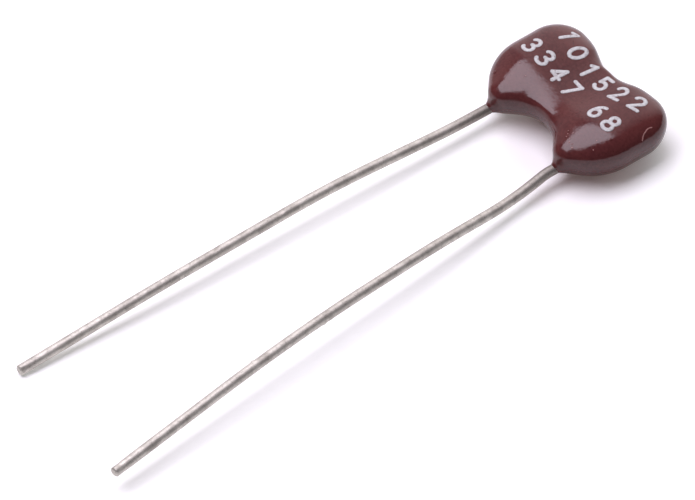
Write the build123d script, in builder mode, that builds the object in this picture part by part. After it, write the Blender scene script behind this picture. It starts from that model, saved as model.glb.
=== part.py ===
"""Dipped silver mica capacitor with two radial leads.

The capacitor lies on its back, as it does on a bench. +Y runs from the lead tips to the
crown of the coat, +X runs across the two leads, and Z = 0 is the surface it lies on.
Each piece is drawn from the exit line, where the leads leave the coat, and from the centre
line between the two lobes. All sizes are in millimetres.
"""
import os
from math import ceil, radians, sqrt, tan

from build123d import *

# ---------------------------------------------------------------- leads
lead_diameter = 0.62
lead_spacing = 5.9          # between the two leads where they leave the coat
lead_length = 32.4          # left lead, from the exit line to its cut end
lead_excess = 1.05          # how much longer the right lead was left
lead_end_gap = 0.63         # from the lead's inner end to the clamp's upper edge
cut_bevel = 0.07            # edge left by the wire cutter
lead_cover = 0.75           # coat between the lead and the surface below
right_tip_lift = 0.2         # how far the right lead's end stays above its exit

# ---------------------------------------------------------------- dipped coating
coat_end_cover = 0.89       # over the clamps' backs, at the ends of the two lobes
coat_crown_cover = 0.88     # over the clamps' upper edges, at the crown
coat_top_cover = 0.56       # over the upper jaw of the taller clamp
rim_round = 1.3             # rounding of the coat's upper and lower rim
rim_wall = 0.04             # least upright wall between the two roundings
saddle_corner = 0.37        # corner of each sunk face at the waist, before it is rounded
saddle_reach = 2.5          # half the length of the sunk stretch
saddle_round = 10.0
crown_flat = 2.62           # from the end of a lobe to where the crown starts to dip
crown_round = 4.4
shoulder_round = 1.84
crown_dip = 0.78            # from the crown down to the corner of the shallow notch
notch_top_round = 3.4
notch_bottom = 2.06         # corner of the deep notch between the leads
notch_bottom_round = 2.2
hip_height = 1.97           # corner where a lobe turns from its end to its toe
hip_round = 3.3
toe_offset = 0.12           # the toe's corner stands this far outside the lead
toe_height = -0.27
toe_round = 1.4
fillet_spare = 0.02         # share of a straight run that the roundings at its ends leave

# ---------------------------------------------------------------- collar of coat on each lead
collar_skin = 0.07          # coat on the lead where the collar starts
collar_length = 1.0
collar_radius = 0.85        # where the collar runs into the lobe
collar_hollow = 0.47        # radius halfway along, which makes the collar hollow like a meniscus

# ---------------------------------------------------------------- stack
sheet_count = 6             # silvered sheets, between the two covers
mica_length = 7.6
mica_width = 3.4
mica_thickness = 0.04
cover_thickness = 0.09
silver_thickness = 0.01
silver_width = 2.9
silver_margin = 0.3         # bare mica left at the end that the electrode is led out of
silver_overlap = 4.6        # length that neighbouring electrodes share
foil_thickness = 0.03
foil_width = 2.6
foil_margin = 0.3           # the foil stops this far inside the shared length
foil_turn = 0.05            # from the end of the mica to the first foil's turn
foil_pitch = 0.035          # from one folded foil to the next outside it
foil_bend = 0.045           # centre-line bend of the innermost foil
foil_return = 1.1           # how far the folded foil comes back over the cover

# ---------------------------------------------------------------- clamps and joints
clamp_thickness = 0.2
clamp_height = 1.83         # lower edge of the clamps above the exit line
clamp_overhang = 0.4        # clamp past each long edge of the mica
clamp_end_gap = 0.45        # from the end of the mica to the clamp's outer face
clamp_grip = 0.65           # jaws past the lead's axis, towards the middle
clamp_bend = 0.22
dimple_diameter = 0.7       # crimp marks pressed into the upper jaw
dimple_depth = 0.07
dimple_spacing = 2.2
solder_foot = 1.2           # width of the solder on the clamp
solder_top = 0.7
solder_height = 0.45
solder_end_gap = 0.2        # solder past the lead's inner end
solder_start = 0.3          # from the clamp's lower edge to the solder

# ---------------------------------------------------------------- worked out
half_spacing = lead_spacing / 2
clamp_width = mica_width + 2 * clamp_overhang
clamp_reach = mica_length / 2 + clamp_end_gap
clamp_tip = half_spacing - clamp_grip
stack_y = clamp_height + clamp_width / 2
clamp_top_y = clamp_height + clamp_width
lead_inner_end = clamp_top_y - lead_end_gap
coat_reach = clamp_reach + coat_end_cover
crown_height = clamp_top_y + coat_crown_cover
lead_radius = lead_diameter / 2
lead_z = lead_cover + lead_radius
clamp_z = lead_z + lead_radius
stack_z = clamp_z + clamp_thickness
foil_count = sheet_count + 1
left_foils = ceil(foil_count / 2)
right_foils = foil_count - left_foils
stack_thickness = (
    2 * cover_thickness
    + foil_count * foil_thickness
    + sheet_count * (mica_thickness + 2 * silver_thickness)
)
stack_top_z = stack_z + stack_thickness
coat_thickness = stack_top_z + left_foils * foil_thickness + clamp_thickness + coat_top_cover

# ---------------------------------------------------------------- lead routes
# Each bend is (outwards from the lead's exit, along the lead, height over the exit, radius).
left_bends = [
    (0.0, 0.75, 0.0, 20.0),
    (0.03, 3.0, 0.03, 55.0),
    (0.28, 11.2, 0.47, 70.0),
    (0.37, 23.0, 0.15, 70.0),
]
left_tip = (0.7, lead_length, lead_radius - lead_z)
right_bends = [
    (0.0, 0.75, 0.0, 4.5),
    (0.32, 3.3, -0.22, 20.0),
    (0.93, 9.4, 0.49, 60.0),
    (1.92, 19.8, 1.02, 100.0),
]
right_tip = (3.36, lead_length + lead_excess, right_tip_lift)


def route(side, bends, tip):
    """Corner points of a lead in exit coordinates: inner end, bends, cut end.

    side is -1 for the left lead and 1 for the right one.
    """
    points = [(side * half_spacing, lead_inner_end, lead_z)]
    for outwards, along, rise, _ in bends:
        points.append((side * (half_spacing + outwards), -along, lead_z + rise))
    outwards, along, rise = tip
    points.append((side * (half_spacing + outwards), -along, lead_z + rise))
    return points


def reach(points, axis):
    """Furthest extent of the bevelled cut end along one axis, 0 for X and 1 for Y."""
    run = Vector(*points[-1]) - Vector(*points[-2])
    share = abs(tuple(run.normalized())[axis])
    tilt = sqrt(1 - share**2)
    full_circle = lead_radius * tilt - cut_bevel * share
    end_circle = (lead_radius - cut_bevel) * tilt
    return abs(points[-1][axis]) + max(full_circle, end_circle)


left_points = route(-1, left_bends, left_tip)
right_points = route(1, right_bends, right_tip)

# The origin is the middle of the underside of the whole part's box.
furthest_left = max(coat_reach, reach(left_points, 0))
furthest_right = max(coat_reach, reach(right_points, 0))
furthest_down = max(reach(left_points, 1), reach(right_points, 1))
centre_x = (furthest_left - furthest_right) / 2
exit_y = (furthest_down - crown_height) / 2


def bench(z=0.0):
    """Horizontal plane at a height, with its origin on the exit line and the centre line."""
    return Plane(origin=(centre_x, exit_y, z))


def front(y=0.0):
    """Upright plane across the leads, a distance up from the exit line, facing the tips."""
    return Plane(origin=(centre_x, exit_y + y, 0), x_dir=(1, 0, 0), z_dir=(0, -1, 0))


def mirrored(corners):
    """Close a list of ((x, y), radius) corners of the right half with its mirror image."""
    inner = [corner for corner in corners if corner[0][0] > 0]
    others = [((-x, y), radius) for (x, y), radius in reversed(inner)]
    return corners + others


# ---------------------------------------------------------------- leads
with BuildPart() as lead_left:
    with BuildLine(bench()) as left_line:
        FilletPolyline(*left_points, radius=[bend[3] for bend in left_bends])
    with BuildSketch(Plane(origin=left_line.line @ 0, z_dir=left_line.line % 0)):
        Circle(lead_radius)
    sweep()
    left_cut = lead_left.edges().filter_by(GeomType.CIRCLE).sort_by(Axis.Y)[0]
    chamfer(left_cut, length=cut_bevel)
lead_left.part.label = "lead_left"

with BuildPart() as lead_right:
    with BuildLine(bench()) as right_line:
        FilletPolyline(*right_points, radius=[bend[3] for bend in right_bends])
    with BuildSketch(Plane(origin=right_line.line @ 0, z_dir=right_line.line % 0)):
        Circle(lead_radius)
    sweep()
    right_cut = lead_right.edges().filter_by(GeomType.CIRCLE).sort_by(Axis.Y)[0]
    chamfer(right_cut, length=cut_bevel)
lead_right.part.label = "lead_right"


# ---------------------------------------------------------------- clamps
def clamp_profile(side, foils):
    """Corner points of a clamp's centre line, from the lower jaw's tip to the upper one's."""
    back = side * (clamp_reach - clamp_thickness / 2)
    tip = side * clamp_tip
    low = clamp_z + clamp_thickness / 2
    high = stack_top_z + foils * foil_thickness + clamp_thickness / 2
    return [(tip, low), (back, low), (back, high), (tip, high)]


def build_clamp(side, foils, label):
    """Brass strip folded round one end of the stack, with crimp marks in its upper jaw."""
    top_z = stack_top_z + foils * foil_thickness + clamp_thickness
    with BuildPart() as clamp:
        with BuildSketch(front(clamp_top_y)):
            with BuildLine():
                FilletPolyline(*clamp_profile(side, foils), radius=clamp_bend)
            trace(line_width=clamp_thickness)
        extrude(amount=clamp_width)
        with BuildSketch(bench(top_z)):
            with Locations((side * (clamp_reach + clamp_tip) / 2, stack_y)):
                with GridLocations(1, dimple_spacing, 1, 2):
                    Circle(dimple_diameter / 2)
        extrude(amount=-dimple_depth, mode=Mode.SUBTRACT)
    clamp.part.label = label
    return clamp


clamp_left = build_clamp(-1, left_foils, "clamp_left")
clamp_right = build_clamp(1, right_foils, "clamp_right")


# ---------------------------------------------------------------- solder between lead and clamp
def build_solder(side, lead, label):
    """Solder run along both sides of a lead and round its inner end."""
    start_y = clamp_height + solder_start
    end_y = lead_inner_end + solder_end_gap
    axis_x = side * half_spacing
    with BuildPart() as solder:
        with BuildSketch(front(end_y)):
            with BuildLine():
                Polyline(
                    (axis_x - solder_foot / 2, clamp_z),
                    (axis_x + solder_foot / 2, clamp_z),
                    (axis_x + solder_top / 2, clamp_z - solder_height),
                    (axis_x - solder_top / 2, clamp_z - solder_height),
                    close=True,
                )
            make_face()
        extrude(amount=end_y - start_y)
        add(lead.part, mode=Mode.SUBTRACT)
    solder.part.label = label
    return solder


solder_left = build_solder(-1, lead_left, "solder_left")
solder_right = build_solder(1, lead_right, "solder_right")


# ---------------------------------------------------------------- stack of mica, silver and foil
def build_sheet(z, thickness, length, width, shift, label):
    """Flat sheet of the stack, from z upwards, shifted along X from the centre line."""
    with BuildPart() as sheet:
        with BuildSketch(bench(z)):
            with Locations((shift, stack_y)):
                Rectangle(length, width)
        extrude(amount=thickness)
    sheet.part.label = label
    return sheet


def build_foil(side, z, layer, label):
    """Foil led out at one end of the stack and folded back over the cover.

    layer counts the folded foils of that end from the inside.
    """
    middle = foil_thickness / 2
    inner_end = -side * (silver_overlap / 2 - foil_margin)
    turn = side * (mica_length / 2 + foil_turn + layer * foil_pitch)
    top = stack_top_z + layer * foil_thickness + middle
    tip = side * (mica_length / 2 - foil_return)
    with BuildPart() as foil:
        with BuildSketch(front(stack_y + foil_width / 2)):
            with BuildLine():
                FilletPolyline(
                    (inner_end, z + middle),
                    (turn, z + middle),
                    (turn, top),
                    (tip, top),
                    radius=[foil_bend, foil_bend + layer * foil_thickness],
                )
            trace(line_width=foil_thickness)
        extrude(amount=foil_width)
    foil.part.label = label
    return foil


stack = []
silver_length = (mica_length + silver_overlap) / 2 - silver_margin
silver_shift = silver_length / 2 - silver_overlap / 2
level = stack_z
stack.append(
    build_sheet(level, cover_thickness, mica_length, mica_width, 0, "cover_mica_lower")
)
level += cover_thickness
for number in range(1, foil_count + 1):
    foil_side = -1 if number % 2 else 1
    foil_layer = (foil_count - number) // 2
    stack.append(build_foil(foil_side, level, foil_layer, f"foil_{number}"))
    level += foil_thickness
    if number > sheet_count:
        break
    stack.append(
        build_sheet(
            level, silver_thickness, silver_length, silver_width,
            foil_side * silver_shift, f"electrode_{number}_lower",
        )
    )
    level += silver_thickness
    stack.append(
        build_sheet(level, mica_thickness, mica_length, mica_width, 0, f"mica_sheet_{number}")
    )
    level += mica_thickness
    stack.append(
        build_sheet(
            level, silver_thickness, silver_length, silver_width,
            -foil_side * silver_shift, f"electrode_{number}_upper",
        )
    )
    level += silver_thickness
stack.append(
    build_sheet(level, cover_thickness, mica_length, mica_width, 0, "cover_mica_upper")
)

# ---------------------------------------------------------------- dipped coating
outline = mirrored([
    ((0, crown_height - crown_dip), notch_top_round),
    ((coat_reach - crown_flat, crown_height), crown_round),
    ((coat_reach, crown_height), shoulder_round),
    ((coat_reach, hip_height), hip_round),
    ((half_spacing + toe_offset, toe_height), toe_round),
    ((0, notch_bottom), notch_bottom_round),
])
side_profile = [
    ((2 * coat_reach, 0), 0),
    ((saddle_reach, 0), saddle_round),
    ((0, saddle_corner), saddle_round),
    ((-saddle_reach, 0), saddle_round),
    ((-2 * coat_reach, 0), 0),
    ((-2 * coat_reach, coat_thickness), 0),
    ((-saddle_reach, coat_thickness), saddle_round),
    ((0, coat_thickness - saddle_corner), saddle_round),
    ((saddle_reach, coat_thickness), saddle_round),
    ((2 * coat_reach, coat_thickness), 0),
]


def clamp_pocket(side, foils):
    """Corners of the space that a clamp fills in the coat, with their radii."""
    back = side * clamp_reach
    tip = side * clamp_tip
    top = stack_top_z + foils * foil_thickness + clamp_thickness
    outer_bend = clamp_bend + clamp_thickness / 2
    return [
        ((tip, clamp_z), 0),
        ((back, clamp_z), outer_bend),
        ((back, top), outer_bend),
        ((tip, top), 0),
    ]


def closed_line(corners):
    """Closed outline of straight runs and arcs through a list of ((x, y), radius).

    Where two neighbouring roundings would meet, both are limited by the run between them.
    """
    points = [Vector(*point) for point, _ in corners]
    runs = [points[(i + 1) % len(points)] - point for i, point in enumerate(points)]
    tangents = [
        radius * tan(radians(runs[i - 1].get_angle(runs[i]) / 2))
        for i, (_, radius) in enumerate(corners)
    ]
    radii = []
    for i, (_, radius) in enumerate(corners):
        before = runs[i - 1].length / max(tangents[i - 1] + tangents[i], fillet_spare)
        after = runs[i].length / max(tangents[i] + tangents[(i + 1) % len(points)], fillet_spare)
        radii.append(radius * min(1, (1 - fillet_spare) * before, (1 - fillet_spare) * after))
    return FilletPolyline(*points, radius=radii, close=True)


def rim_radius():
    """Radius of both rims, limited by the coat's thickness at the waist."""
    slope = saddle_corner / saddle_reach
    sunk = saddle_corner - saddle_round * (sqrt(1 + slope**2) - 1)
    return min(rim_round, (coat_thickness - 2 * sunk - rim_wall) / 2)


with BuildPart() as dipped_coating:
    with BuildSketch(bench()):
        with BuildLine():
            closed_line(outline)
        make_face()
    extrude(amount=coat_thickness)
    with BuildSketch(front(-coat_reach)):
        with BuildLine():
            closed_line(side_profile)
        make_face()
    extrude(amount=-4 * coat_reach, mode=Mode.INTERSECT)
    upright = dipped_coating.edges().filter_by(Axis.Z)
    across = dipped_coating.edges().filter_by(Axis.Y)
    rims = dipped_coating.edges() - upright - across
    fillet(rims, radius=rim_radius())
    for side in (-1, 1):
        exit_point = (centre_x + side * half_spacing, exit_y, lead_z)
        with BuildSketch(Plane(origin=exit_point)):
            with BuildLine():
                Polyline((0, collar_length), (0, 0), (lead_radius + collar_skin, 0))
                ThreePointArc(
                    (lead_radius + collar_skin, 0),
                    (collar_hollow, collar_length / 2),
                    (collar_radius, collar_length),
                )
                Line((collar_radius, collar_length), (0, collar_length))
            make_face()
        revolve(axis=Axis(exit_point, (0, 1, 0)))
    with BuildSketch(front(clamp_top_y)):
        for side, foils in ((-1, left_foils), (1, right_foils)):
            with BuildLine():
                closed_line(clamp_pocket(side, foils))
            make_face()
    extrude(amount=clamp_width, mode=Mode.SUBTRACT)
    with BuildSketch(bench(stack_z)):
        with Locations((0, stack_y)):
            Rectangle(mica_length, mica_width)
    extrude(amount=stack_thickness, mode=Mode.SUBTRACT)
    for piece in (lead_left, lead_right, solder_left, solder_right):
        add(piece.part, mode=Mode.SUBTRACT)
dipped_coating.part.label = "dipped_coating"

os.makedirs("parts", exist_ok=True)
pieces = [dipped_coating, lead_left, lead_right, solder_left, solder_right, clamp_left, clamp_right]
for piece in pieces + stack:
    export_step(piece.part, f"parts/{piece.part.label}.step")
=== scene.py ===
"""Dipped silver mica capacitor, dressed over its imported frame.

Sizes of the pieces are in millimetres and are drawn in the part's own plan: x across the two
leads from the centre line, y up from the line where the leads leave the coat, z up from the
surface the capacitor lies on. Datum turns them into metres in the frame.
"""
from __future__ import annotations

import logging
import math
from dataclasses import dataclass
from enum import Enum
from functools import partial
from typing import Callable

import bmesh
import bpy
import numpy as np
from bpy.types import Material, Node, NodeSocket, NodeTree, Object
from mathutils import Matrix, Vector


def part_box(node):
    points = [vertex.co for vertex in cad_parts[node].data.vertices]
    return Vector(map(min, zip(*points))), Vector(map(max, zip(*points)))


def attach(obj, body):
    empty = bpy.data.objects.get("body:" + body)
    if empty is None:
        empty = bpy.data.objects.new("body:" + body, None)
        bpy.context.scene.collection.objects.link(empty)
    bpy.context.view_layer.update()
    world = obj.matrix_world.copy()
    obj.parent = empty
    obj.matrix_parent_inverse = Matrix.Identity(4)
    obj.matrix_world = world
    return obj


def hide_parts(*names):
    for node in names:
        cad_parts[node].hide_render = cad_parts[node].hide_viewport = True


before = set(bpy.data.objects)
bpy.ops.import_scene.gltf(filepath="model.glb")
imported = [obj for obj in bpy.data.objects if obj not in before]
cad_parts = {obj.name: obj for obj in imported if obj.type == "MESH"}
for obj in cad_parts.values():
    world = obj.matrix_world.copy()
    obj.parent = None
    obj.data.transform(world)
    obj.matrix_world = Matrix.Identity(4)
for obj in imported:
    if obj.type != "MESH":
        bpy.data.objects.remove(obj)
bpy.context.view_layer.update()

log = logging.getLogger("capacitor")
MM = 0.001
BODY = "root"
CAD_CROWN = 6.91  # the CAD coat's top edge over the exit line
Pair = tuple[float, float]
Triple = tuple[float, float, float]
Bend = tuple[float, float, float, float]
Shell = tuple[np.ndarray, np.ndarray, np.ndarray]  # points, quads and triangles
Pen = tuple[float, float, int]  # width, height and points round a stroke
Adder = Callable[..., Node]


class Slot(Enum):
    """Material slots of the record."""

    COATING = "coating"
    LEAD_WIRE = "lead_wire"
    CLAMP = "clamp"
    SOLDER = "solder"
    MICA = "mica"
    SILVER = "silver"
    FOIL = "foil"


class Side(Enum):
    """The two leads, by the sign of their x."""

    LEFT = -1
    RIGHT = 1


# ---- small tools
def linear(hex_colour: str) -> tuple[float, float, float, float]:
    """Turn an sRGB hex colour into linear red, green, blue and alpha.

    Args:
        hex_colour: six hex digits after a hash sign.

    Returns:
        The linear colour, with alpha 1.
    """
    parts = [int(hex_colour[i:i + 2], 16) / 255 for i in (1, 3, 5)]
    red, green, blue = [c / 12.92 if c <= 0.04045 else ((c + 0.055) / 1.055) ** 2.4 for c in parts]
    return red, green, blue, 1.0


def per_mm(size: float) -> float:
    """Scale of a texture on Object coordinates whose features are size millimetres wide."""
    return 1 / (size * MM)


def add_node(tree: NodeTree, kind: str, inputs: dict | list | None = None, **settings) -> Node:
    """Add a shader node with its settings, its values and its links.

    Args:
        tree: the node tree that gets the node.
        kind: the node's type, without the word ShaderNode in front.
        inputs: a value, an output socket, or a node whose first output in use is linked, for
            each input by its name or number, or for all inputs in their order as a list.
        settings: the node's own properties.

    Returns:
        The new node.
    """
    node = tree.nodes.new(f"ShaderNode{kind}")
    for key, value in settings.items():
        setattr(node, key, value)
    pairs = enumerate(inputs) if isinstance(inputs, list) else (inputs or {}).items()
    for key, value in pairs:
        if isinstance(value, Node):
            value = next(output for output in value.outputs if output.enabled)
        if isinstance(value, NodeSocket):
            tree.links.new(value, node.inputs[key])
        else:
            node.inputs[key].default_value = value
    return node


def unit(rows: np.ndarray) -> np.ndarray:
    """Rows of vectors, each brought to length 1."""
    return rows / np.linalg.norm(rows, axis=1)[:, None]


def run_length(path: np.ndarray) -> np.ndarray:
    """Length of a path up to each of its points: the running sum of its steps."""
    return np.concatenate([[0], np.cumsum(np.linalg.norm(np.diff(path, axis=0), axis=1))])


def along_path(path: np.ndarray, at: np.ndarray) -> np.ndarray:
    """Points of a path at lengths along it, on the straight lines between its points."""
    length = run_length(path)
    return np.stack([np.interp(at, length, column) for column in path.T], 1)


def ease(share: np.ndarray) -> np.ndarray:
    """Smooth step of a share from 0 to 1: three times its square less twice its cube."""
    return share * share * (3 - 2 * share)


# ---- meshes
def shell(grid: np.ndarray, start: np.ndarray, end: np.ndarray) -> Shell:
    """Closed shell over a grid of rings with a pole at each end.

    Each quad joins two neighbours of a ring to those of the next, and triangles join the first
    and the last ring to the poles.

    Args:
        grid: points, rings by around by 3.
        start: pole before the first ring.
        end: pole after the last ring.

    Returns:
        All points, the quads and the triangles at the poles.
    """
    rings, around, _ = grid.shape
    points = np.concatenate([grid.reshape(-1, 3), [start], [end]])
    i, j = np.meshgrid(np.arange(rings - 1), np.arange(around), indexing="ij")
    here, there, step = i * around, (i + 1) * around, (j + 1) % around
    quads = np.stack([here + j, here + step, there + step, there + j], -1).reshape(-1, 4)
    j, step, last = j[0], step[0], (rings - 1) * around
    bottom = np.stack([step, j, np.full(around, rings * around)], -1)
    top = np.stack([last + j, last + step, np.full(around, rings * around + 1)], -1)
    return points, quads, np.concatenate([bottom, top])


def make_piece(datum: Datum, name: str, shells: list[Shell], material: Material,
               edge: np.ndarray | None = None, sharp: float = 180.0) -> Object:
    """Make an object from closed shells, riding on the part's body.

    Args:
        datum: where the part's plan lies.
        name: the piece's name.
        shells: closed shells in the part's plan.
        material: its finish.
        edge: a value for each point, kept as the attribute "edge".
        sharp: angle in degrees from which an edge is shaded sharp.

    Returns:
        The new object, at the origin.
    """
    points = datum.place(np.concatenate([part[0] for part in shells]))
    firsts = np.cumsum([0] + [len(part[0]) for part in shells])
    faces = [face for first, (_, quads, ends) in zip(firsts, shells)
             for face in (quads + first).tolist() + (ends + first).tolist()]
    mesh = bpy.data.meshes.new(name)
    mesh.from_pydata(points.tolist(), [], faces)
    if edge is not None:
        mesh.attributes.new("edge", "FLOAT", "POINT").data.foreach_set("value", edge.astype(np.float32))
    work = bmesh.new()
    work.from_mesh(mesh)
    bmesh.ops.recalc_face_normals(work, faces=work.faces)
    work.to_mesh(mesh)
    work.free()
    mesh.polygons.foreach_set("use_smooth", np.ones(len(mesh.polygons), bool))
    if sharp < 180:
        mesh.set_sharp_from_angle(angle=math.radians(sharp))
    mesh.materials.append(material)
    piece = bpy.data.objects.new(name, mesh)
    bpy.context.scene.collection.objects.link(piece)
    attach(piece, BODY)
    return piece


@dataclass(frozen=True)
class Datum:
    """Where the part's own plan lies in the frame, in metres."""

    centre_x: float
    exit_y: float

    def place(self, points: np.ndarray | Triple) -> np.ndarray:
        """Turn points in millimetres of the part's plan into metres of the frame."""
        return np.asarray(points) * MM + [self.centre_x, self.exit_y, 0.0]


# ---- finishes
@dataclass(frozen=True)
class Finish:
    """A finish with one Principled shader.

    Its base colour is a list: the lowest colour, then the share and colour of each layer over
    it. Levels are values of a noise. MapRange takes a value, the two ends it comes from and the
    two it goes to, and stays between them.
    """

    name: str

    def paint(self, add: Adder) -> dict:
        """Inputs of the Principled shader, whose nodes each finish adds."""
        return {}

    def surface(self, add: Adder) -> Node:
        """Lay the colours of the paint over each other and add the shader.

        Args:
            add: adds a node to the material's tree.

        Returns:
            The shader node that the material shows.
        """
        inputs = self.paint(add)
        base, *layers = inputs["Base Color"]
        colour = linear(base)
        for share, tone in layers:
            # inputs 6 and 7 of Mix are its two colours
            colour = add("Mix", {0: share, 6: colour, 7: linear(tone)}, data_type="RGBA")
        return add("BsdfPrincipled", inputs | {"Base Color": colour})

    def build(self) -> Material:
        """Make the material.

        Returns:
            The material.
        """
        material = bpy.data.materials.new(self.name)
        material.use_nodes = True
        material.node_tree.nodes.clear()
        add = partial(add_node, material.node_tree)
        add("OutputMaterial", {"Surface": self.surface(add)})
        return material


@dataclass(frozen=True)
class DippedPhenolic(Finish):
    """Phenolic resin coat, dipped in several passes, baked hard and sealed with wax."""

    # It gives the eye a deep maroon gloss, redder where the coat is thin, whose reflections waver
    # where it ran, with dark filler and pale flecks in it. The filler and the grain of the skin
    # are finer than a tenth of a millimetre, and are drawn coarser so that they show.
    name: str = "dipped_phenolic"
    colour: str = "#4C2325"
    thin_colour: str = "#5A2D2C"
    speck_colour: str = "#3A1512"
    fleck_colour: str = "#6B3836"  # paler resin in the grain of the skin
    roughness: float = 0.12
    index: float = 1.46  # the wax over the resin
    cloud: float = 2.4  # mm, thicker and thinner patches
    thin_levels: Pair = (0.35, 0.68)
    speck: float = 0.3  # mm apart, dark filler
    speck_levels: Pair = (0.08, 0.2)  # share of that, core and rim of a speck
    speck_share: float = 0.5
    grain: float = 0.16  # mm, fine ripple of the baked skin
    grain_depth: float = 0.0065  # mm
    fleck_levels: Pair = (0.38, 0.68)
    fleck_share: float = 0.42
    ripple: float = 0.55  # mm, the slow wave of the coat as it ran
    ripple_depth: float = 0.008  # mm
    gloss_levels: Pair = (0.3, 0.7)
    smoother: float = 0.03  # roughness less than usual in the dips of the grain
    rougher: float = 0.05

    def paint(self, add: Adder) -> dict:
        """Add the finish's nodes.

        Args:
            add: adds a node to the material's tree.

        Returns:
            Inputs of the Principled shader.
        """
        place = add("TexCoord").outputs["Object"]
        cloud = add("TexNoise", {"Vector": place, "Scale": per_mm(self.cloud), "Detail": 3.0})
        dots = add("TexVoronoi", {"Vector": place, "Scale": per_mm(self.speck)})
        skin = add("TexNoise", {"Vector": place, "Scale": per_mm(self.grain), "Detail": 3.0,
                                "Roughness": 0.6})
        wave = add("TexNoise", {"Vector": place, "Scale": per_mm(self.ripple), "Detail": 1.0})
        fine = add("Bump", {"Height": skin, "Distance": self.grain_depth * MM})
        return {
            "Base Color": [
                self.colour,
                (add("MapRange", [cloud, *self.thin_levels]), self.thin_colour),
                (add("MapRange", [dots, *self.speck_levels, self.speck_share, 0.0]), self.speck_colour),
                (add("MapRange", [skin, *self.fleck_levels, 0.0, self.fleck_share]), self.fleck_colour),
            ],
            "Roughness": add("MapRange", [skin, *self.gloss_levels, self.roughness - self.smoother,
                                          self.roughness + self.rougher]),
            "IOR": self.index,
            "Normal": add("Bump", {"Height": wave, "Distance": self.ripple_depth * MM, "Normal": fine}),
        }


@dataclass(frozen=True)
class TinnedWire(Finish):
    """Copper-clad steel wire, drawn, hot-tinned and handled."""

    # The tin gives the eye a satin grey, bright and dull in patches, with faint lines from the
    # die, dark scuffs and pits, and a brown film of resin beside the coat. The lines and pits
    # are a few hundredths of a millimetre, and are drawn coarser so that they show.
    name: str = "tinned_wire"
    bright: str = "#D5D1C9"
    dull: str = "#AFAAA2"
    pit: str = "#736D66"
    stain: str = "#6A5F5A"  # resin film
    exit_y: float = 0.0  # m, where the wires leave the coat
    stain_run: float = 4.0  # mm
    stain_share: float = 0.8
    stain_gap: float = 0.55  # share of the film that stays in its thin patches
    stain_levels: Pair = (0.3, 0.6)
    roughness: float = 0.58
    smoother: float = 0.05  # roughness less than usual between the pits
    rougher: float = 0.15  # and more in them
    gloss_levels: Pair = (0.35, 0.7)
    cloud: float = 0.9  # mm
    dull_levels: Pair = (0.4, 0.68)
    spot: float = 0.14  # mm, scuffs and pits
    pit_levels: Pair = (0.56, 0.72)
    pit_share: float = 0.6
    draw_line: float = 0.09  # mm across
    draw_stretch: float = 0.06  # how little the lines change along the wire
    relief: float = 0.006  # mm

    def paint(self, add: Adder) -> dict:
        """Add the finish's nodes.

        Args:
            add: adds a node to the material's tree.

        Returns:
            Inputs of the Principled shader.
        """
        place = add("TexCoord").outputs["Object"]
        along = add("Mapping", {"Vector": place, "Scale": (1, self.draw_stretch, 1)})
        lines = add("TexNoise", {"Vector": along, "Scale": per_mm(self.draw_line)})
        cloud = add("TexNoise", {"Vector": place, "Scale": per_mm(self.cloud), "Detail": 4.0,
                                 "Roughness": 0.6})
        spots = add("TexNoise", {"Vector": place, "Scale": per_mm(self.spot), "Detail": 4.0,
                                 "Roughness": 0.75})
        length = add("SeparateXYZ", [place]).outputs["Y"]
        stain_end = self.exit_y - self.stain_run * MM
        near = add("MapRange", [length, stain_end, self.exit_y, 0.0, self.stain_share])
        patchy = add("MapRange", [cloud, *self.stain_levels, 1.0, self.stain_gap])
        height = add("Math", [lines, spots], operation="ADD")
        return {
            "Base Color": [
                self.bright,
                (add("MapRange", [cloud, *self.dull_levels]), self.dull),
                (add("MapRange", [spots, *self.pit_levels, 0.0, self.pit_share]), self.pit),
                (add("Math", [near, patchy], operation="MULTIPLY"), self.stain),
            ],
            "Metallic": 1.0,
            "Roughness": add("MapRange", [spots, *self.gloss_levels, self.roughness - self.smoother,
                                          self.roughness + self.rougher]),
            "Normal": add("Bump", {"Height": height, "Distance": self.relief * MM}),
        }


@dataclass(frozen=True)
class StampedInk(Finish):
    """Opaque marking ink, stamped on and baked."""

    # The ink gives the eye a chalky pale grey with no gloss of its own, thinner and dirtier
    # towards the edge of a stroke, with a few pinholes that show the coat.
    name: str = "stamped_ink"
    colour: str = "#CCCDCD"
    thin_colour: str = "#9B9192"
    bare_colour: str = "#6E4A4A"  # the coat in a pinhole
    roughness: float = 0.5
    blot: float = 0.15  # mm
    blot_levels: Pair = (0.42, 0.72)
    blot_share: float = 0.7
    edge_levels: Pair = (0.5, 1.0)  # from the middle of a stroke to its edge
    edge_share: float = 0.5
    pinhole: float = 0.3  # mm
    pinhole_levels: Pair = (0.66, 0.74)
    pinhole_share: float = 0.75
    relief: float = 0.003  # mm

    def paint(self, add: Adder) -> dict:
        """Add the finish's nodes, which read the attribute "edge" of the strokes.

        Args:
            add: adds a node to the material's tree.

        Returns:
            Inputs of the Principled shader.
        """
        place = add("TexCoord").outputs["Object"]
        blots = add("TexNoise", {"Vector": place, "Scale": per_mm(self.blot), "Detail": 3.0,
                                 "Roughness": 0.65})
        holes = add("TexNoise", {"Vector": place, "Scale": per_mm(self.pinhole), "Roughness": 0.6})
        edge = add("Attribute", attribute_name="edge").outputs["Fac"]
        thin = add("MapRange", [edge, *self.edge_levels, 0.0, self.edge_share])
        dirty = add("MapRange", [blots, *self.blot_levels, 0.0, self.blot_share])
        return {
            "Base Color": [
                self.colour,
                (add("Math", [thin, dirty], operation="ADD", use_clamp=True), self.thin_colour),
                (add("MapRange", [holes, *self.pinhole_levels, 0.0, self.pinhole_share]), self.bare_colour),
            ],
            "Roughness": self.roughness,
            "Normal": add("Bump", {"Height": blots, "Distance": self.relief * MM}),
        }


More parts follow.
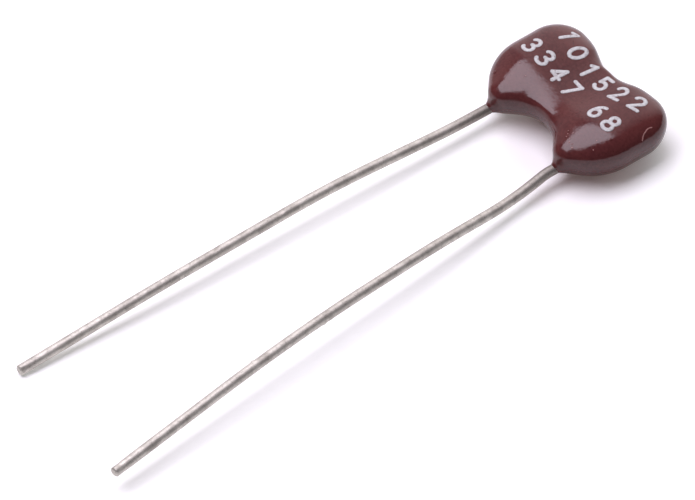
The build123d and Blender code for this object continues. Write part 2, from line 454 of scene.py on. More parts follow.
@dataclass(frozen=True)
class InnerFinish(Finish):
    """Finish of a piece that the coat hides: two colours in a soft cloud, with its own gloss."""

    colour: str
    second: str
    metallic: float
    roughness: float
    cloud: float  # mm
    stretch: Triple = (1, 1, 1)
    colour_levels: Pair = (0.35, 0.65)
    gloss_levels: Pair = (0.3, 0.7)
    rougher: float = 0.12
    relief: float = 0.002  # mm

    def paint(self, add: Adder) -> dict:
        """Add the finish's nodes.

        Args:
            add: adds a node to the material's tree.

        Returns:
            Inputs of the Principled shader.
        """
        place = add("TexCoord").outputs["Object"]
        along = add("Mapping", {"Vector": place, "Scale": self.stretch})
        patch = add("TexNoise", {"Vector": along, "Scale": per_mm(self.cloud), "Detail": 3.0})
        return {
            "Base Color": [self.colour, (add("MapRange", [patch, *self.colour_levels]), self.second)],
            "Metallic": self.metallic,
            "Roughness": add("MapRange", [patch, *self.gloss_levels, self.roughness,
                                          self.roughness + self.rougher]),
            "Normal": add("Bump", {"Height": patch, "Distance": self.relief * MM}),
        }


@dataclass(frozen=True)
class PaleFloor(Finish):
    """Matt white card that the part lies on."""

    # The card gives the eye no texture, only the soft shadow. It also glows for the rays that
    # are seen, so that it looks white to the camera and in the gloss of the part. The glow is
    # weaker beside the body, a painted shadow over the rendered one, and redder there, a
    # painted bounce of light from the red coat.
    name: str = "pale_floor"
    colour: str = "#F4F4F4"
    # painted bounce light of the red coat on the floor
    painted_bounce: str = "#FFDEDB"
    near_glow: float = 0.1  # painted shadow: the glow is weakest where the body's shadow is deepest
    far_glow: float = 0.26
    glow_start: float = 2.4  # mm from the middle of the painted shadow
    glow_end: float = 5.1
    shade: Triple = (0.0, 0.0, 0.0)  # m, that middle

    def surface(self, add: Adder) -> Node:
        """Add the card's nodes.

        Args:
            add: adds a node to the material's tree.

        Returns:
            The sum of paint and glow.
        """
        rays = add("LightPath").outputs
        seen = add("Math", [rays["Is Camera Ray"], rays["Is Glossy Ray"]], operation="MAXIMUM")
        seen = add("Math", [seen, rays["Is Transmission Ray"]], operation="MAXIMUM")
        place = add("TexCoord").outputs["Object"]
        # painted shadow and painted bounce: the glow fades and reddens towards the body's shadow
        away = add("VectorMath", {0: place, 1: self.shade}, operation="DISTANCE")
        share = add("MapRange", [away, self.glow_start * MM, self.glow_end * MM])
        level = add("MapRange", [share, 0.0, 1.0, self.near_glow, self.far_glow])
        tint = add("Mix", {0: share, 6: linear(self.painted_bounce), 7: (1, 1, 1, 1)}, data_type="RGBA")
        strength = add("Math", [seen, level], operation="MULTIPLY")
        glow = add("Emission", {"Color": tint, "Strength": strength})
        return add("AddShader", [add("BsdfDiffuse", {"Color": linear(self.colour)}), glow])


# ---- coat
@dataclass
class DippedCoat:
    """The dipped body: a bow-tie plan, a lens-like rim and a saddle across the waist.

    The plan is a polygon with each corner rounded by an arc, moved aside a little from the
    middle of the wires. The coat is widest at the height of its waterline, just over the wires.
    Over a point of the plan at the distance d from the outline, the height over the waterline is
    H * (1 - (1 - d / D)^n)^(1 / m). H is the full height less the sinking of the saddle, a cosine
    bump along x, and less the droop of the front, which grows as a power of the way down from a
    line across the lobes. D is the width of the rim, which reaches as far as that line in front,
    is widest on the flanks and narrow at the waist. The underside has the same form with a rim
    of one width and no droop.
    """

    datum: Datum
    aside: float = 0.11  # the body sits this far to the right of the wires' middle
    half_width: float = 5.3
    crown: float = 6.95  # top edge, over the exit line
    notch_top: float = 5.936  # corner of the shallow notch
    crown_corner: float = 2.549
    hip: float = 1.724  # corner between a lobe's end and its toe
    toe: Pair = (2.902, -0.322)
    notch_bottom: float = 2.098  # corner of the deep notch
    # roundings of notch_top, crown_corner, shoulder, hip, toe and notch_bottom
    radii: tuple[float, ...] = (2.334, 3.892, 2.024, 3.549, 1.01, 2.762)
    thickness: float = 3.2
    waterline: float = 1.9
    back_rim: float = 1.335  # D at the crown
    flank_rim: float = 3.091  # D on the flanks
    waist_rim: float = 0.398  # D at the waist
    waist_half: float = 0.867  # half width of the waist
    flank_start: float = 1.674  # from here the rim widens towards the flank
    flank_run: float = 1.5
    front_line: float = 1.769  # the flat of the upper face ends here
    least_rim: float = 0.01
    rim_blend: float = 8.0  # how sharply the front's rim takes over from the flank's
    power_in: float = 3.366  # n
    power_out: float = 2.3  # m
    under_rim: float = 1.422  # D, n and m of the underside
    under_in: float = 1.805
    under_out: float = 1.8
    sink: float = 0.468  # of the upper face at the waist
    under_sink: float = 0.471
    sink_reach: float = 3.472  # from the waist to where the sinking ends
    droop: float = 0.483
    droop_line: float = 2.75
    droop_run: float = 3.0
    droop_power: float = 1.5
    corner_steps: int = 200
    around: int = 560
    rim_rings: int = 34
    rim_crowding: float = 1.5  # how much closer the rings are at the edge
    face_rings: int = 30
    rim_inset: float = 1.0  # the rim rings follow the outline this far in, then run to the middle
    rim_trust: float = 0.3  # up to here the inset itself is the distance from the outline
    middle: Pair = (0.094, 3.9)
    exit_x: float = 2.95
    exit_z: float = 1.06
    wire: float = 0.31  # radius
    meniscus: float = 0.34  # coat drawn out along the wire
    meniscus_width: float = 0.2
    meniscus_top: float = 1.3  # where that ends, over the exit line

    def corners(self) -> list[Triple]:
        """Corners of the plan, anticlockwise from the notch between the leads.

        Returns:
            x, y and radius of each corner.
        """
        top, crown, shoulder, hip, toe, bottom = self.radii
        right = [
            (self.toe[0], self.toe[1], toe), (self.half_width, self.hip, hip),
            (self.half_width, self.crown, shoulder), (self.crown_corner, self.crown, crown),
        ]
        left = [(-x, y, r) for x, y, r in reversed(right)]
        return [(0.0, self.notch_bottom, bottom)] + right + [(0.0, self.notch_top, top)] + left

    def outline(self) -> tuple[np.ndarray, np.ndarray]:
        """Points round the plan at equal steps, and their inward normals.

        Each rounded corner is an arc between its two tangent points, and straight runs join them.

        Returns:
            Points and normals, each around by 2.
        """
        corners = np.array(self.corners())
        points, radii = corners[:, :2], corners[:, 2]
        into = unit(points - np.roll(points, 1, 0))
        out = unit(np.roll(points, -1, 0) - points)
        turn = np.arctan2(into[:, 0] * out[:, 1] - into[:, 1] * out[:, 0], (into * out).sum(1))
        start = points - into * (radii * np.tan(np.abs(turn) / 2))[:, None]
        angle = turn[:, None] * np.linspace(0, 1, self.corner_steps)
        side = np.stack([-into[:, 1], into[:, 0]], 1) * np.sign(turn)[:, None]
        centre = start + side * radii[:, None]
        cos, sin = np.cos(angle)[..., None], np.sin(angle)[..., None]
        spoke = (start - centre)[:, None, :]
        arcs = centre[:, None, :] + spoke * cos + np.stack([-spoke[..., 1], spoke[..., 0]], -1) * sin
        path = arcs.reshape(-1, 2)
        path = np.vstack([path, path[:1]])
        at = np.linspace(0, run_length(path)[-1], self.around, endpoint=False)
        ring = along_path(path, at) + [self.aside, 0]
        along = unit(np.roll(ring, -1, 0) - np.roll(ring, 1, 0))
        return ring, np.stack([-along[:, 1], along[:, 0]], 1)

    def depth(self, x: np.ndarray, y: np.ndarray) -> np.ndarray:
        """Smooth distance from points of the plan to its outline.

        The sum of distance^-p over the outline, brought back to a length, which equals the
        distance beside a straight edge and has no ridge where two edges are equally near.

        Args:
            x: places across.
            y: places up from the exit line.

        Returns:
            The distances, in the shape of x.
        """
        ring, _ = self.outline()
        step = np.linalg.norm(np.roll(ring, -1, 0) - ring, axis=1)
        power, least, batches = 8.0, 1e-6, 64
        scale = math.sqrt(math.pi) * math.gamma((power - 1) / 2) / math.gamma(power / 2)
        found = []
        for px, py in zip(np.array_split(x.ravel(), batches), np.array_split(y.ravel(), batches)):
            square = (px[:, None] - ring[:, 0]) ** 2 + (py[:, None] - ring[:, 1]) ** 2 + least
            found.append((square ** (-power / 2) * step).sum(1))
        return ((np.concatenate(found) / scale) ** (-1 / (power - 1))).reshape(x.shape)

    def sinking(self, x: np.ndarray) -> np.ndarray:
        """Share of the saddle's sinking at x: half a cosine wave, 1 at the waist."""
        return 0.5 + 0.5 * np.cos(np.pi * np.clip(np.abs(x) / self.sink_reach, 0, 1))

    def upper(self, x: np.ndarray, y: np.ndarray, depth: np.ndarray) -> np.ndarray:
        """Height of the upper face over the waterline, by the formula of the class.

        Args:
            x: places across.
            y: places up from the exit line.
            depth: their distances from the outline.

        Returns:
            The heights.
        """
        x = x - self.aside
        drop = self.droop * np.clip((self.droop_line - y) / self.droop_run, 0, None) ** self.droop_power
        full = self.thickness - self.waterline - self.sink * self.sinking(x) - drop
        flank = ease(np.clip((np.abs(x) - self.flank_start) / self.flank_run, 0, 1))
        waist = np.exp(-(x / self.waist_half) ** 2)
        rim = (self.back_rim * (1 - flank) + self.flank_rim * flank) * (1 - waist) + self.waist_rim * waist
        front = np.clip(self.front_line - y + depth, self.least_rim, None)
        rim = (rim ** self.rim_blend + front ** self.rim_blend) ** (1 / self.rim_blend)
        inner = np.clip(1 - depth / rim, 0, 1)
        return full * (1 - inner ** self.power_in) ** (1 / self.power_out)

    def under(self, x: np.ndarray, depth: np.ndarray) -> np.ndarray:
        """Depth of the underside under the waterline, by the formula of the class.

        Args:
            x: places across.
            depth: their distances from the outline.

        Returns:
            The depths.
        """
        full = self.waterline - self.under_sink * self.sinking(x - self.aside)
        inner = np.clip(1 - depth / self.under_rim, 0, 1)
        return full * (1 - inner ** self.under_in) ** (1 / self.under_out)

    def top(self, x: np.ndarray, y: np.ndarray) -> np.ndarray:
        """Height of the coat's upper face over points of the plan."""
        return self.waterline + self.upper(x, y, self.depth(x, y))

    def draw_out(self, points: np.ndarray) -> np.ndarray:
        """Draw the coat out along each wire where it leaves.

        The shift is meniscus * exp(-(distance from the wire's skin) / width), and it fades over
        the last millimetre below meniscus_top.

        Args:
            points: points of the coat, with x, y and z along the last axis.

        Returns:
            The moved points.
        """
        x, y, z = points[..., 0], points[..., 1], points[..., 2]
        near = np.hypot(np.abs(x) - self.exit_x, z - self.exit_z)
        pull = self.meniscus * np.exp(-np.clip(near - self.wire, 0, None) / self.meniscus_width)
        moved = points.copy()
        moved[..., 1] -= pull * np.clip(self.meniscus_top - y, 0, 1)
        return moved

    def build(self, material: Material) -> Object:
        """Build the coat as one closed shell, from the middle of its underside to that of its top.

        Rings follow the outline over the rim, closer together at its edge, and then shrink along
        straight rays to the middle. Each point's height is that of upper or under.

        Args:
            material: the coat's finish.

        Returns:
            The piece.
        """
        ring, inward = self.outline()
        inset = self.rim_inset * (1 - np.cos(np.linspace(0, np.pi / 2, self.rim_rings))) ** self.rim_crowding
        rim_plan = ring[None] + inward[None] * inset[:, None, None]
        trust = ease(np.clip((inset - self.rim_trust) / (self.rim_inset - self.rim_trust), 0, 1))[:, None]
        rim_depth = inset[:, None] * (1 - trust) + self.depth(rim_plan[..., 0], rim_plan[..., 1]) * trust
        share = np.linspace(0, 1, self.face_rings + 1)[1:-1, None, None]
        face_plan = rim_plan[-1][None] * (1 - share) + np.array(self.middle) * share
        face_depth = self.depth(face_plan[..., 0], face_plan[..., 1])
        plan = np.concatenate([rim_plan, face_plan])
        depth = np.concatenate([rim_depth, face_depth])
        above = self.upper(plan[..., 0], plan[..., 1], depth)
        below = self.under(plan[..., 0], depth)
        above[0] = below[0] = 0
        top = np.dstack([plan, self.waterline + above])
        bottom = np.dstack([plan, self.waterline - below])[:0:-1]
        grid = self.draw_out(np.concatenate([bottom, top]))
        x, y = np.array(self.middle)[:, None]
        depth = self.depth(x, y)
        poles = [np.array([*self.middle, self.waterline + float(rise[0])])
                 for rise in (-self.under(x, depth), self.upper(x, y, depth))]
        piece = make_piece(self.datum, "coat_skin", [shell(grid, *poles)], material)
        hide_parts("dipped_coating")
        return piece


# ---- leads
@dataclass(frozen=True)
class Dent:
    """A dent in a wire, or a blob of tin where depth is negative."""

    place: float  # mm from the cut end
    side: float  # degrees round the wire
    depth: float  # mm
    width: float  # mm along the wire
    spread: float  # degrees


@dataclass
class Lead:
    """One tinned wire: a circle carried along straight runs joined by arcs, cut off at its end."""

    datum: Datum
    side: Side
    bends: list[Bend]  # outwards, down from the exit line, rise over the exit, radius
    tip: Triple  # outwards, down and rise of the cut end
    dents: tuple[Dent, ...] = ()
    spacing: float = 5.9
    inner_end: float = 5.4  # over the exit line, inside the coat
    exit_z: float = 1.06
    radius: float = 0.31
    bevel: float = 0.07  # of the cut end
    end_ring: float = 0.5  # share of the cut face's radius at which it has a ring
    sharp: float = 35.0  # degrees from which an edge is shaded sharp
    bend_steps: int = 40
    around: int = 40
    step: float = 0.07

    def route(self) -> np.ndarray:
        """Points along the wire's axis at equal steps.

        Each bend is an arc between its tangent points on the two runs that meet there.

        Returns:
            The points, in the part's plan.
        """
        sign, half = self.side.value, self.spacing / 2
        rows = [(0.0, -self.inner_end, 0.0, 0.0), *self.bends, (*self.tip, 0.0)]
        corners = np.array([(sign * (half + out), -down, self.exit_z + rise) for out, down, rise, _ in rows])
        path = [corners[0]]
        for before, corner, after, row in zip(corners, corners[1:], corners[2:], rows[1:]):
            into, out = unit(np.array([corner - before, after - corner]))
            turn = math.acos(np.clip(into @ out, -1, 1))
            side = out - into * (into @ out)
            side /= np.linalg.norm(side)
            start = corner - into * row[3] * math.tan(turn / 2)
            angle = np.linspace(0, turn, self.bend_steps)[:, None]
            path.extend(start + row[3] * (into * np.sin(angle) + side * (1 - np.cos(angle))))
        path = np.array(path + [corners[-1]])
        whole = run_length(path)[-1]
        return along_path(path, np.linspace(0, whole, int(whole / self.step)))

    def radii(self, left: np.ndarray, angle: np.ndarray) -> np.ndarray:
        """Radius of the wire's skin, rings by around.

        Each dent takes away depth * exp(-(distance / width)^2) * exp(-(turn / spread)^2), where
        turn is the angle from the dent's side of the wire.

        Args:
            left: distance of each ring from the cut end.
            angle: angles round the wire, from its outer side upwards.

        Returns:
            The radii.
        """
        size = np.full((len(left), len(angle)), self.radius)
        for dent in self.dents:
            turn = (angle - math.radians(dent.side) + np.pi) % (2 * np.pi) - np.pi
            along = np.exp(-((left - dent.place) / dent.width) ** 2)
            size -= dent.depth * along[:, None] * np.exp(-(turn / math.radians(dent.spread)) ** 2)[None]
        return size

    def build(self, material: Material) -> Object:
        """Build the wire as one closed tube with a bevelled cut end.

        Each ring is a circle of the skin's radii across the route, and the last rings narrow by
        the bevel and close over the cut face.

        Args:
            material: the wire's finish.

        Returns:
            The piece.
        """
        path = self.route()
        run = unit(np.gradient(path, axis=0))
        across = unit(np.cross(run, [0.0, 0.0, 1.0]))
        over = np.cross(across, run)
        left = run_length(path[::-1])[::-1]
        angle = np.linspace(0, 2 * np.pi, self.around, endpoint=False)
        size = self.radii(left, angle)
        rows = np.append(np.flatnonzero(left >= self.bevel), [-1, -1, -1])
        axis, across, over, size = path[rows], across[rows], over[rows], size[rows]
        axis[-3] -= run[-1] * self.bevel
        size[-2] -= self.bevel
        size[-1] = size[-2] * self.end_ring
        circle = across[:, None] * np.cos(angle)[:, None] + over[:, None] * np.sin(angle)[:, None]
        grid = axis[:, None] + circle * size[..., None]
        side = self.side.name.lower()
        piece = make_piece(self.datum, f"wire_{side}", [shell(grid, axis[0], axis[-1])],
                           material, sharp=self.sharp)
        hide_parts(f"lead_{side}")
        return piece


# ---- marking
BOW_POINTS = 33  # in each arc of a numeral


def bow(cx: float, cy: float, rx: float, ry: float, start: float, end: float) -> np.ndarray:
    """Points of an elliptic arc from one angle to another, in degrees."""
    angle = np.radians(np.linspace(start, end, BOW_POINTS))
    return np.stack([cx + rx * np.cos(angle), cy + ry * np.sin(angle)], 1)


# Strokes of each numeral in a box 0.6 wide and 1 high, and the middle of that box.
NUMERAL_MIDDLE = np.array([0.3, 0.5])
NUMERALS: dict[str, list[np.ndarray | list[Pair]]] = {
    "0": [bow(0.3, 0.5, 0.3, 0.5, 90, 450)],
    "1": [[(0.1, 0.8), (0.34, 1.0)], [(0.34, 1.0), (0.34, 0.0)]],
    "2": [np.vstack([bow(0.3, 0.71, 0.29, 0.29, 165, -35), [[0.0, 0.0]]]), [(0.0, 0.0), (0.6, 0.0)]],
    "3": [bow(0.28, 0.76, 0.27, 0.24, 150, -90), bow(0.28, 0.26, 0.31, 0.26, 90, -150)],
    "4": [[(0.43, 1.0), (0.0, 0.32)], [(0.0, 0.32), (0.6, 0.32)], [(0.43, 1.0), (0.43, 0.0)]],
    "5": [[(0.54, 1.0), (0.1, 1.0)], [(0.1, 1.0), (0.06, 0.55)],
          bow(0.28, 0.31, 0.31, 0.31, 136, -150)],
    "6": [bow(0.52, 0.36, 0.5, 0.62, 98, 180), bow(0.3, 0.3, 0.28, 0.3, 0, 360)],
    "7": [[(0.0, 1.0), (0.6, 1.0)], [(0.6, 1.0), (0.2, 0.0)]],
    "8": [bow(0.3, 0.76, 0.24, 0.24, 0, 360), bow(0.3, 0.26, 0.3, 0.26, 0, 360)],
}


@dataclass
class PrintedRow:
    """A row of plain numbers stamped on the coat, set between the centres of its end glyphs."""

    text: str
    first: Pair
    last: Pair
    sag: float = 0.0  # the middle glyphs sit this far under the straight line

    def spot(self, share: float) -> tuple[np.ndarray, np.ndarray]:
        """Centre and direction of a glyph, on a parabola through both ends of the row.

        Args:
            share: the glyph's place in the row, from 0 to 1.

        Returns:
            The centre and the direction of the row there, of length 1.
        """
        start, end = np.array(self.first), np.array(self.last)
        whole = np.linalg.norm(end - start)
        along = (end - start) / whole
        up = np.array([-along[1], along[0]])
        run = along + up * (-4 * self.sag * (1 - 2 * share) / whole)
        centre = start + (end - start) * share - up * 4 * self.sag * share * (1 - share)
        return centre, run / np.linalg.norm(run)


@dataclass
class Marking:
    """Stamped numbers: flat round-ended strokes that follow the coat's upper face."""

    datum: Datum
    coat: DippedCoat
    rows: tuple[PrintedRow, ...] = (
        PrintedRow("101522", (-3.08, 5.68), (3.38, 5.44), 0.52),
        PrintedRow("3347 68", (-3.75, 3.6), (3.7, 3.26)),
    )
    height: float = 1.04  # between stroke centres
    stroke: float = 0.25
    raised: float = 0.018  # ink over the coat
    sunk: float = 0.02  # and under its surface
    around: int = 12
    cap_rings: int = 7  # in each round end, with its tip and its foot
    step: float = 0.05
    reach: float = 0.02  # the stroke's direction is taken this far to both sides

    def stroke_shell(self, path: np.ndarray) -> tuple[Shell, np.ndarray]:
        """Closed shell of one stroke: a flat oval carried along a path with round ends.

        The oval's half width is the root of half the stroke's width squared less the square of
        the way past the path's end. Its height over the coat is the sine of the angle round it
        times raised above and sunk below.

        Args:
            path: corner points of the stroke in the part's plan.

        Returns:
            The shell, and for each of its points how near it is to the stroke's edge.
        """
        whole = run_length(path)[-1]
        half = self.stroke / 2
        body = np.linspace(0, whole, max(3, int(whole / self.step)))
        cap = half * np.sin(np.linspace(0, np.pi / 2, self.cap_rings)[1:-1])
        at = np.concatenate([-cap[::-1], body, whole + cap])
        inside = np.clip(at, 0, whole)
        run = unit(along_path(path, np.clip(inside + self.reach, 0, whole))
                   - along_path(path, np.clip(inside - self.reach, 0, whole)))
        past = at - inside
        axis = along_path(path, inside) + run * past[:, None]
        width = np.sqrt(np.clip(half ** 2 - past ** 2, 0, None))
        angle = np.linspace(0, 2 * np.pi, self.around, endpoint=False)
        across = np.stack([-run[:, 1], run[:, 0]], 1)
        plan = axis[:, None] + across[:, None] * (np.cos(angle)[None, :, None] * width[:, None, None])
        lift = np.where(np.sin(angle) > 0, self.raised, self.sunk) * np.sin(angle)
        x, y = plan[..., 0], plan[..., 1]
        grid = np.stack([x, y, self.coat.top(x, y) + lift[None]], -1)
        tips = [axis[0] - run[0] * (half + past[0]), axis[-1] + run[-1] * (half - past[-1])]
        poles = [np.array([*tip, float(self.coat.top(tip[:1], tip[1:])[0])]) for tip in tips]
        near = np.maximum(np.abs(np.cos(angle))[None], (np.abs(past) / half)[:, None])
        return shell(grid, *poles), np.concatenate([near.ravel(), [1.0, 1.0]])

    def build(self, material: Material) -> None:
        """Build each row as one piece, with its numerals turned along it.

        Args:
            material: the ink.
        """
        for number, row in enumerate(self.rows, 1):
            shells, edges = [], []
            for place, glyph in enumerate(row.text):
                centre, along = row.spot(place / (len(row.text) - 1))
                up = np.array([-along[1], along[0]])
                for path in NUMERALS.get(glyph, []):
                    local = (np.array(path) - NUMERAL_MIDDLE) * self.height
                    stroke, near = self.stroke_shell(centre + local[:, :1] * along + local[:, 1:] * up)
                    shells.append(stroke)
                    edges.append(near)
            make_piece(self.datum, f"numbers_row_{number}", shells, material,
                       np.concatenate(edges))


@dataclass
class Blemishes:
    """Small faults of the coat: a lifted lip of resin on the right lobe, a pimple, and small
    raised specks whose pale colour is a painted glint.
    """

    datum: Datum
    coat: DippedCoat
    lip: tuple[Pair, ...] = (
        (5.02, 5.12), (4.99, 4.95), (5.0, 4.8), (5.05, 4.65), (5.1, 4.5), (5.18, 4.37), (5.27, 4.25),
    )
    pimple: Pair = (-3.84, 0.97)
    specks: tuple[Pair, ...] = (
        # small raised bumps whose pale colour is a painted glint
        (2.45, 1.25), (2.6, 1.1), (2.68, 0.93), (2.95, 0.96), (3.1, 0.8), (3.3, 0.83), (3.45, 0.72),
        (2.8, 1.3), (4.35, 1.5), (4.1, 1.95), (-3.1, 2.2), (-2.2, 1.9),
    )
    dot: float = 0.005  # half the length of a speck's stroke
    lip_pen: Pen = (0.052, 0.03, 12)
    glint_speck_pen: Pen = (0.06, 0.03, 12)
    pimple_pen: Pen = (0.22, 0.05, 24)

    def build(self, coat_material: Material, pale: Material) -> None:
        """Build the lip and the specks as one pale piece, and the pimple in the coat's finish.

        Each is a stroke, and those of the specks and the pimple have almost no length. The specks'
        pale colour is a painted glint on small raised bumps.

        Args:
            coat_material: the coat's finish.
            pale: the finish of the lip, and the painted glint of the specks.
        """
        pens = [Marking(self.datum, self.coat, (), stroke=width, raised=height, around=around)
                for width, height, around in (self.lip_pen, self.glint_speck_pen, self.pimple_pen)]
        dot = np.array([[-self.dot, 0.0], [self.dot, 0.0]])
        strokes = [pens[0].stroke_shell(np.array(self.lip))[0]]
        strokes += [pens[1].stroke_shell(dot + np.array(place))[0] for place in self.specks]
        make_piece(self.datum, "coat_lip_and_glints", strokes, pale)
        pimple = pens[2].stroke_shell(dot + np.array(self.pimple))[0]
        make_piece(self.datum, "coat_pimple", [pimple], coat_material)


# ---- inner stack
@dataclass(frozen=True)
class InnerStack:
    """Clamps, solder, mica, silver and foil inside the coat, which keep their CAD shapes."""

    # Half-hard brass strip, stamped: warm yellow with a soft sheen. Soft solder, frozen as it
    # ran: dull pale grey. Muscovite mica, cleaved: glassy and tan. Silver paste, fired on the
    # mica: white and matt. Rolled tin-lead foil: grey, in streaks along the strip.
    finishes: tuple[tuple[str, Slot, InnerFinish], ...] = (
        ("clamp", Slot.CLAMP, InnerFinish("stamped_brass", "#C7A252", "#B08A3E", 1.0, 0.28, 0.5)),
        ("solder", Slot.SOLDER, InnerFinish("soft_solder", "#B9B8B5", "#A19F9B", 1.0, 0.34, 0.25)),
        ("mica", Slot.MICA, InnerFinish("cleaved_mica", "#C9B48C", "#BBA479", 0.0, 0.18, 1.6)),
        ("electrode", Slot.SILVER, InnerFinish("fired_silver", "#DEDCD6", "#CBC8C1", 1.0, 0.36, 0.2)),
        ("foil", Slot.FOIL, InnerFinish("tin_foil", "#B7B8BC", "#A4A5AA", 1.0, 0.3, 0.35, (0.2, 1, 1))),
    )

    def dress(self, nodes: dict[str, Object]) -> None:
        """Give each inner CAD node its finish.

        Args:
            nodes: the visible CAD nodes by name.
        """
        for key, slot, finish in self.finishes:
            material = finish.build()
            for name, node in nodes.items():
                if key in name:
                    node.data.materials.clear()
                    node.data.materials.append(material)
            log.info("dressed the %s nodes in %s", key, finish.name)


# ---- studio
@dataclass(frozen=True)
class Lamp:
    """A rectangular soft light that hangs over the part and faces straight down."""

    name: str
    centre: Triple  # m from the part
    size: Pair  # m
    radiance: float
    colour: str

    def build(self, part: Vector) -> None:
        """Hang the lamp over the part, with the power that gives its face this radiance.

        Args:
            part: the body's middle, in metres.
        """
        data = bpy.data.lights.new(self.name, "AREA")
        data.shape = "RECTANGLE"
        data.size, data.size_y = self.size
        data.energy = self.radiance * math.pi * self.size[0] * self.size[1]
        data.color = linear(self.colour)[:3]
        lamp = bpy.data.objects.new(self.name, data)
        lamp.location = part + Vector(self.centre)
        bpy.context.scene.collection.objects.link(lamp)


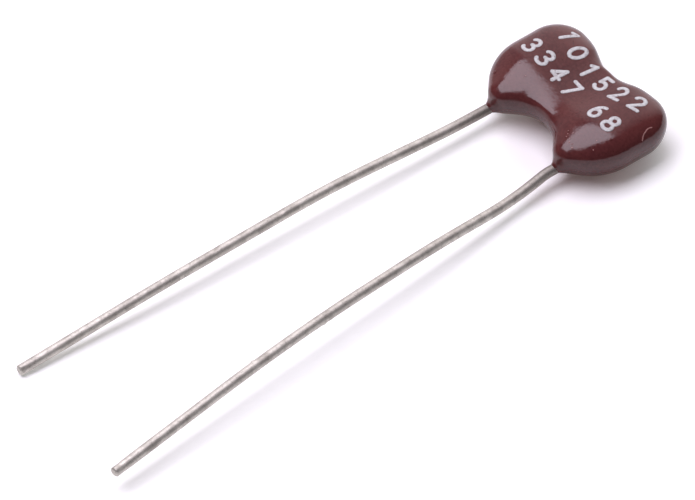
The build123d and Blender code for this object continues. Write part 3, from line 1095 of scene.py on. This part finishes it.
@dataclass(frozen=True)
class Studio:
    """Camera, soft lamp, pale floor and the room round them."""

    datum: Datum
    azimuth: float = 52.05
    elevation: float = 46.51
    lens: float = 1000.0  # mm
    sensor: float = 36.0  # mm
    clip: Pair = (0.01, 20.0)  # m
    field_width: float = 38.585  # mm across the view at the part
    aim: Triple = (-2.441, -10.454, -3.247)  # mm in the part's plan
    lamp: Lamp = Lamp("softbox", (-0.2, -0.125, 0.5), (0.45, 0.6), 5.0, "#F7F2FF")
    sky: float = 1.0  # the room behind the part
    wall: float = 0.5  # added near the wall behind it
    side: float = 0.5  # the far left of the room
    dark: float = 0.04  # the dark side of the room
    room_colour: str = "#FFF6F8"
    # where each of these starts and ends, on x or y of the direction
    left_edge: Pair = (0.05, -0.3)
    back_edge: Pair = (0.3, 0.35)
    wall_edge: Pair = (0.45, 0.8)
    far_edge: Pair = (-0.6, -0.8)
    near_edge: Pair = (-0.5, -0.2)
    floor_half: float = 1.5  # m
    shade_middle: Triple = (1.5, 1.9, 0.0)  # middle of the painted shadow on the floor, mm in the part's plan
    lamp_foot: Triple = (0.0, 3.9, 1.6)  # the body's middle, in the part's plan

    def build_camera(self) -> None:
        """Place the long-lens camera at the viewing angle, as far off as its field asks."""
        a, e = math.radians(self.azimuth), math.radians(self.elevation)
        back = Vector((math.sin(a) * math.cos(e), -math.cos(a) * math.cos(e), math.sin(e)))
        data = bpy.data.cameras.new("camera")
        data.lens, data.sensor_width = self.lens, self.sensor
        data.clip_start, data.clip_end = self.clip
        camera = bpy.data.objects.new("camera", data)
        distance = self.lens / self.sensor * self.field_width * MM
        camera.location = Vector(self.datum.place(self.aim)) + back * distance
        camera.rotation_mode = "QUATERNION"
        camera.rotation_quaternion = (-back).to_track_quat("-Z", "Y")
        bpy.context.scene.collection.objects.link(camera)
        bpy.context.scene.camera = camera

    def build_world(self) -> None:
        """World that is bright behind the part and to its left.

        The level is the larger of left * behind * front + dark and far * near, all of them ramps
        on the direction: left and far on x, behind, front and near on y, with behind from sky to
        sky + wall and far up to side.
        """
        world = bpy.data.worlds.new("studio")
        bpy.context.scene.world = world
        world.use_nodes = True
        world.node_tree.nodes.clear()
        add = partial(add_node, world.node_tree)
        way = add("TexCoord").outputs["Generated"]
        across, back = add("SeparateXYZ", [way]).outputs[:2]
        left = add("MapRange", [across, *self.left_edge])
        front = add("MapRange", [back, *self.back_edge])
        behind = add("MapRange", [back, *self.wall_edge, self.sky, self.sky + self.wall])
        room = add("Math", [left, behind], operation="MULTIPLY")
        room = add("Math", [room, front, self.dark], operation="MULTIPLY_ADD")
        far = add("MapRange", [across, *self.far_edge, 0.0, self.side])
        near = add("MapRange", [back, *self.near_edge])
        corner = add("Math", [far, near], operation="MULTIPLY")
        level = add("Math", [room, corner], operation="MAXIMUM")
        sky = add("Background", {"Color": linear(self.room_colour), "Strength": level})
        add("OutputWorld", {"Surface": sky})

    def build_floor(self) -> None:
        """Lay the floor, a square around the part."""
        mesh = bpy.data.meshes.new("floor")
        half = self.floor_half
        mesh.from_pydata([(-half, -half, 0), (half, -half, 0), (half, half, 0), (-half, half, 0)], [],
                         [(0, 1, 2, 3)])
        floor = bpy.data.objects.new("floor", mesh)
        bpy.context.scene.collection.objects.link(floor)
        mesh.materials.append(PaleFloor(shade=tuple(self.datum.place(self.shade_middle))).build())

    def build(self) -> None:
        """Build the whole studio."""
        bpy.context.scene.view_settings.view_transform = "Standard"
        self.build_camera()
        self.build_world()
        self.build_floor()
        self.lamp.build(Vector(self.datum.place(self.lamp_foot)))


# ---- the whole part
def main() -> None:
    logging.basicConfig(level=logging.INFO, format="%(name)s: %(message)s")
    low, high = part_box("dipped_coating")
    datum = Datum((low.x + high.x) / 2, high.y - CAD_CROWN * MM)
    Studio(datum).build()
    coat = DippedCoat(datum)
    resin = DippedPhenolic().build()
    coat.build(resin)
    log.info("built the coat")
    # resin lifted off the skin, with air under it: the same coat, paler and duller; on the specks
    # this pale colour is a painted glint
    pale = DippedPhenolic("pale_resin_and_glints", "#AC7C77", "#96645F", "#84524F", "#B88A84", 0.35)
    Blemishes(datum, coat).build(resin, pale.build())
    log.info("built the lip, the specks and the pimple")
    wire = TinnedWire(exit_y=datum.exit_y).build()
    left = Lead(
        datum, Side.LEFT,
        [(0.0, 0.75, 0.0, 20.0), (0.03, 3.0, 0.03, 55.0), (0.28, 11.2, 0.47, 70.0), (0.37, 23.0, 0.15, 70.0)],
        (0.7, 32.4, -0.75),
        (Dent(13.5, 75, 0.05, 0.16, 32), Dent(13.9, 60, -0.025, 0.1, 25), Dent(17.9, 85, 0.05, 0.2, 30),
         Dent(18.3, 70, -0.02, 0.1, 25), Dent(0.2, 150, 0.05, 0.2, 40)),
    )
    right = Lead(
        datum, Side.RIGHT,
        [(0.0, 0.75, 0.0, 4.5), (0.32, 3.3, -0.22, 20.0), (0.93, 9.4, 0.49, 60.0), (1.92, 19.8, 1.02, 100.0)],
        (3.36, 33.45, 0.2),
        (Dent(15.7, 195, -0.05, 0.11, 24), Dent(16.2, 185, -0.04, 0.09, 22), Dent(10.7, 45, -0.05, 0.1, 22),
         Dent(0.5, 120, 0.07, 0.15, 75), Dent(0.0, 120, 0.03, 0.9, 120)),
    )
    for lead in (left, right):
        lead.build(wire)
        log.info("built the %s lead", lead.side.name.lower())
    Marking(datum, coat).build(StampedInk().build())
    log.info("stamped the numbers")
    InnerStack().dress({name: node for name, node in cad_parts.items() if not node.hide_render})


if __name__ == "__main__":
    main()
